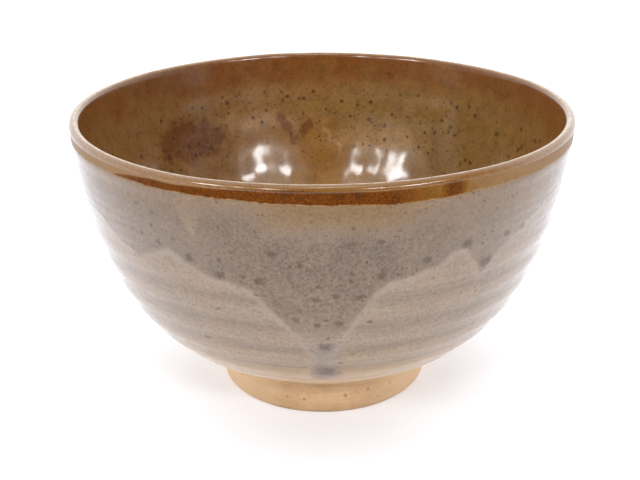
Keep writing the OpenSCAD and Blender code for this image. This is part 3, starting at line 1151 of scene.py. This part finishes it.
def make_lining():
    """The lining: over the lip, down the inner wall and across the tea well, with its face first."""
    front = lining_runs(11, LINING_ROWS)[::-1]
    a, run = np.meshgrid(angles_for(WALL_TURNS), np.append(front, lining_runs(5, 26)))
    lift = np.zeros_like(run)
    lift[len(front):] = BACK_LIFT
    make_piece("lining", "inner_glaze", lining_material(), lining_point(a, run, lift),
               lining_marks(a, run), poles=True)


def make_clay_body():
    """Thrown clay under the glazes: it follows their surface, half a millimetre below."""
    angles = angles_for(CLAY_TURNS)
    bottom = [flat_ring(angles, r, FOOT_H + 0.02) for r in (0.0, 9.0, 18.0, FOOT_R - 2.0)]
    a, depth = np.meshgrid(angles, np.linspace(WALL.length, 0.0, 60))
    outer = wall_point(a, depth, CLAY_LIFT)
    a, run = np.meshgrid(angles, lining_runs(7, 60)[1:])
    inner = lining_point(a, run, CLAY_LIFT)
    rows = [*bottom, *outer, *inner]
    make_piece("thrown_body", "clay_body", clay_material("clay"), rows, poles=True)


# Small dark pits in the foot: (angle, height, radius).
FOOT_PITS = (
    (11.3, 4.6, 0.62), (24.3, 5.2, 0.5), (-20.4, 4.0, 0.5), (-11.0, 3.7, 0.55), (38.8, 5.0, 0.42),
    (75, 4.8, 0.5), (112, 3.0, 0.6), (150, 5.6, 0.45), (-175, 2.2, 0.55), (-130, 4.8, 0.6),
    (-95, 2.4, 0.5), (-52, 5.4, 0.4),
)


def pit_mark(angle, r, z):
    """1 in the middle of a pit, 0 away from it."""
    away = 1 - spot_mark(angle, z, FOOT_R, FOOT_PITS)
    return np.exp(-1.5 * away ** 2) * smooth(r, FOOT_R - 1.2, FOOT_R - 0.6)


def foot_outline():
    """From the middle of the recess, down the ring's inner side, round its edge and up to the wall."""
    ring_in = FOOT_R - RING_W
    corner = 0.9
    under = np.array([[0.0, RECESS_H + 0.5], [ring_in - 4.0, RECESS_H + 0.05]])
    turn_down = np.array([
        [ring_in - 2.2, RECESS_H - 0.3], [ring_in - 1.2, RECESS_H - 1.3], [ring_in - 0.2, corner + 0.5],
    ])
    a = np.radians(np.linspace(180, 270, 8))
    inner_edge = np.stack([ring_in + 0.1 + corner * (1 + np.cos(a)), corner * (1 + np.sin(a))], axis=1)
    a = np.radians(np.linspace(270, 360, 8))
    outer_edge = np.stack([FOOT_R - corner * (1 - np.cos(a)), corner * (1 + np.sin(a))], axis=1)
    side = np.array([[FOOT_R - 0.12, 3.0], [FOOT_R - 0.35, 6.0], [FOOT_R - 0.5, FOOT_H]])
    return Outline(np.vstack([under, turn_down, inner_edge, outer_edge, side]), flip=1)


def foot_relief(angle, r, z):
    """Turning marks, a spiral in the recess, and pits on the outside."""
    in_recess = smooth(z, RECESS_H - 0.9, RECESS_H - 0.2) * smooth(r, 0.5, 3)
    spiral = 0.12 * np.cos(TURN * (r / 2.6 + angle / 360.0)) * in_recess
    lines = 0.03 * np.cos(TURN * (z + waves(angle, ((2, 0.25, 0),))) / 1.15) * smooth(z, 0.9, 1.6)
    soft = waves(angle, ((3, 0.05, 20), (7, 0.04, 130), (13, 0.025, 240))) * smooth(z, 0.0, 1.0)
    return spiral + lines + soft - 0.35 * pit_mark(angle, r, z)


def make_foot():
    """The turned foot, with the recess under it."""
    line = foot_outline()
    angles = angles_for(FOOT_TURNS)
    a, along = np.meshgrid(angles, np.linspace(0, line.length, 130))
    (r, z), (nr, nz) = line.at(along)
    up = foot_relief(a, r, z)
    resting = 1 - smooth(z, 0.0, 0.35)
    r = np.maximum(r + nr * up, 0)
    z = np.maximum(z + nz * up * (1 - resting), 0)
    face = to_space(a, r, z)
    lid = [flat_ring(angles, radius, FOOT_H) for radius in (16.0, 0.0)]
    marks = {"pit": np.vstack([pit_mark(a, r, z), np.zeros((len(lid), FOOT_TURNS))])}
    make_piece("turned_foot", "foot_ring", clay_material("foot_clay"), [*face, *lid], marks,
               poles=True)


# ---- stage, light and camera, in metres

# The bowl stands on a light table, which glows faintly and so fills its own shadows. The glow
# falls off in front, between these distances from the bowl's axis, in millimetres.
FLOOR_HALF = 6.0
FLOOR_GLOW = 0.15
FRONT_GLOW = 0.0
GLOW_NEAR = 5
GLOW_FAR = 60


def floor_material():
    m = Shade("pale_floor")
    fleck = m.noise(40, 2, 0.5, 30.0)
    m.colour(m.blend(fleck, (0.895, 0.905, 0.95), (0.915, 0.925, 0.97)))
    m.glossy(0.9, 0.0, 0.3)
    split = m.node("SeparateXYZ", m.place)
    glow = m.ramp(split.outputs[1], -GLOW_FAR * MM, -GLOW_NEAR * MM, FRONT_GLOW, FLOOR_GLOW)
    m.fill(m.surface, Emission_Color=(0.92, 0.95, 1.0), Emission_Strength=glow)
    return m.material


def make_floor():
    half = FLOOR_HALF
    mesh = bpy.data.meshes.new("floor")
    corners = [(-half, -half, 0), (half, -half, 0), (half, half, 0), (-half, half, 0)]
    mesh.from_pydata(corners, [], [(0, 1, 2, 3)])
    mesh.materials.append(floor_material())
    floor = bpy.data.objects.new("floor", mesh)
    bpy.context.scene.collection.objects.link(floor)


SKY_BRIGHT = 1.45
SKY_FRONT = 0.10
SKY_TOP = 1.9
SKY_LOW = 1.05


def make_world():
    """A white room: bright behind the bowl and overhead, pale low at the sides, dark by the camera."""
    world = bpy.data.worlds.new("studio")
    w = Nodes(world)
    split = w.node("SeparateXYZ", w.node("TexCoord").outputs["Generated"])
    _, y, z = split.outputs
    back = w.ramp(y, -0.54, 0.33, SKY_FRONT, SKY_BRIGHT)
    top = w.ramp(z, 0.72, 0.97, 0.0, SKY_TOP)
    low_sides = w.times(w.ramp(z, 0.16, 0.30, SKY_LOW, 0.0), w.ramp(y, -0.60, -0.36))
    brightest = w.calc("MAXIMUM", w.calc("MAXIMUM", back, top), low_sides)
    w.node("OutputWorld", w.node("Background", (0.98, 0.985, 1.0), brightest).outputs[0])
    bpy.context.scene.world = world


LAMP_AIM = Vector((0.0, 0.0, 0.045))
LAMP_RANGE = 1.1
# Softboxes in front, right and left, and one overhead: angle, elevation, width, height, power.
LAMPS = (
    (51, 31, 0.08, 0.10, 0.7), (40, 27.5, 0.21, 0.18, 3.4), (24, 32, 0.15, 0.16, 2.0),
    (-24, 32, 0.12, 0.20, 2.0), (-37, 29, 0.06, 0.17, 0.8), (-51, 28, 0.20, 0.22, 3.9),
    (10, 78, 0.30, 0.12, 1.1),
)


def make_lamps():
    for index, (angle, rise, width, height, power) in enumerate(LAMPS):
        a = math.radians(angle)
        e = math.radians(rise)
        way = Vector((math.sin(a) * math.cos(e), -math.cos(a) * math.cos(e), math.sin(e)))
        data = bpy.data.lights.new(f"softbox_{index}", "AREA")
        data.shape = "ELLIPSE"
        data.size = width
        data.size_y = height
        data.energy = power
        lamp = bpy.data.objects.new(f"softbox_{index}", data)
        lamp.location = LAMP_AIM + way * LAMP_RANGE
        lamp.rotation_euler = way.to_track_quat("Z", "Y").to_euler()
        bpy.context.scene.collection.objects.link(lamp)


CAMERA_AT = Vector((-0.0007, -0.2358, 0.1329))
CAMERA_PITCH = math.radians(22.55)
CAMERA_ROLL = math.radians(-0.61)
CAMERA_LENS = 56.25


def make_camera():
    """The view of the photograph: just above the rim's height, looking down a little."""
    ahead = Vector((0, math.cos(CAMERA_PITCH), -math.sin(CAMERA_PITCH)))
    level_up = Vector((0, math.sin(CAMERA_PITCH), math.cos(CAMERA_PITCH)))
    side = Vector((1, 0, 0))
    right = side * math.cos(CAMERA_ROLL) + level_up * math.sin(CAMERA_ROLL)
    up = level_up * math.cos(CAMERA_ROLL) - side * math.sin(CAMERA_ROLL)
    data = bpy.data.cameras.new("camera")
    data.lens = CAMERA_LENS
    data.sensor_width = 36.0
    data.clip_start = 0.01
    data.clip_end = 50.0
    camera = bpy.data.objects.new("camera", data)
    axes = Matrix((right, up, -ahead)).transposed().to_4x4()
    camera.matrix_world = Matrix.Translation(CAMERA_AT) @ axes
    bpy.context.scene.collection.objects.link(camera)
    bpy.context.scene.camera = camera


def set_look():
    scene = bpy.context.scene
    scene.view_settings.view_transform = "Standard"
    scene.view_settings.look = "None"
    scene.view_settings.exposure = 0.0


make_clay_body()
make_foot()
make_lining()
make_rim_band()
make_outer_glaze()
make_poured_coat()
make_drop()
make_floor()
make_world()
make_lamps()
make_camera()
set_look()
